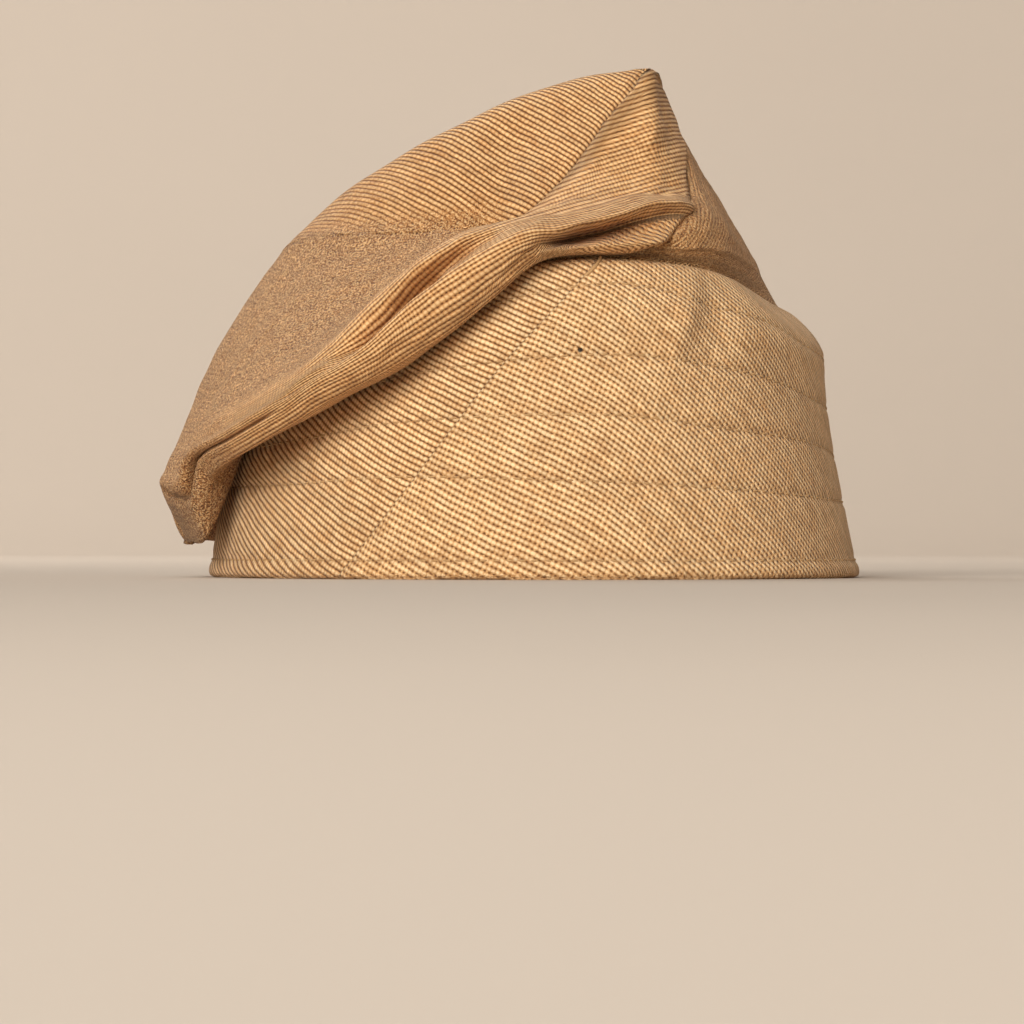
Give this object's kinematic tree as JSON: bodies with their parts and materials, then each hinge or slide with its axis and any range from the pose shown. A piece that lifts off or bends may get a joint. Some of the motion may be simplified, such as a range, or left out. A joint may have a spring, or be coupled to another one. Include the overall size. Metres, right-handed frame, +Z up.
{
  "type": "fila cap",
  "caption": "Soft brimless cloth cap: a tapered stitched band and a pointed crown of sewn panels that folds over to the wearer's right.",
  "frame": {"origin": "on the floor under the middle of the box round the cap, level with the rim it rests on", "axes": "+Z up through the crown, -Y towards the front of the cap, -X towards the wearer's right, where the crown folds over"},
  "size_m": [0.1846, 0.207, 0.1334],
  "materials": {
    "band_cloth": "coarse golden-tan ribbed weave, lock-stitched in rows",
    "crown_cloth": "coarse golden-tan ribbed weave"
  },
  "bodies": {
    "root": {"band": "band_cloth", "crown_top": "crown_cloth", "crown_right": "crown_cloth", "crown_left": "crown_cloth"}
  },
  "joints": []
}
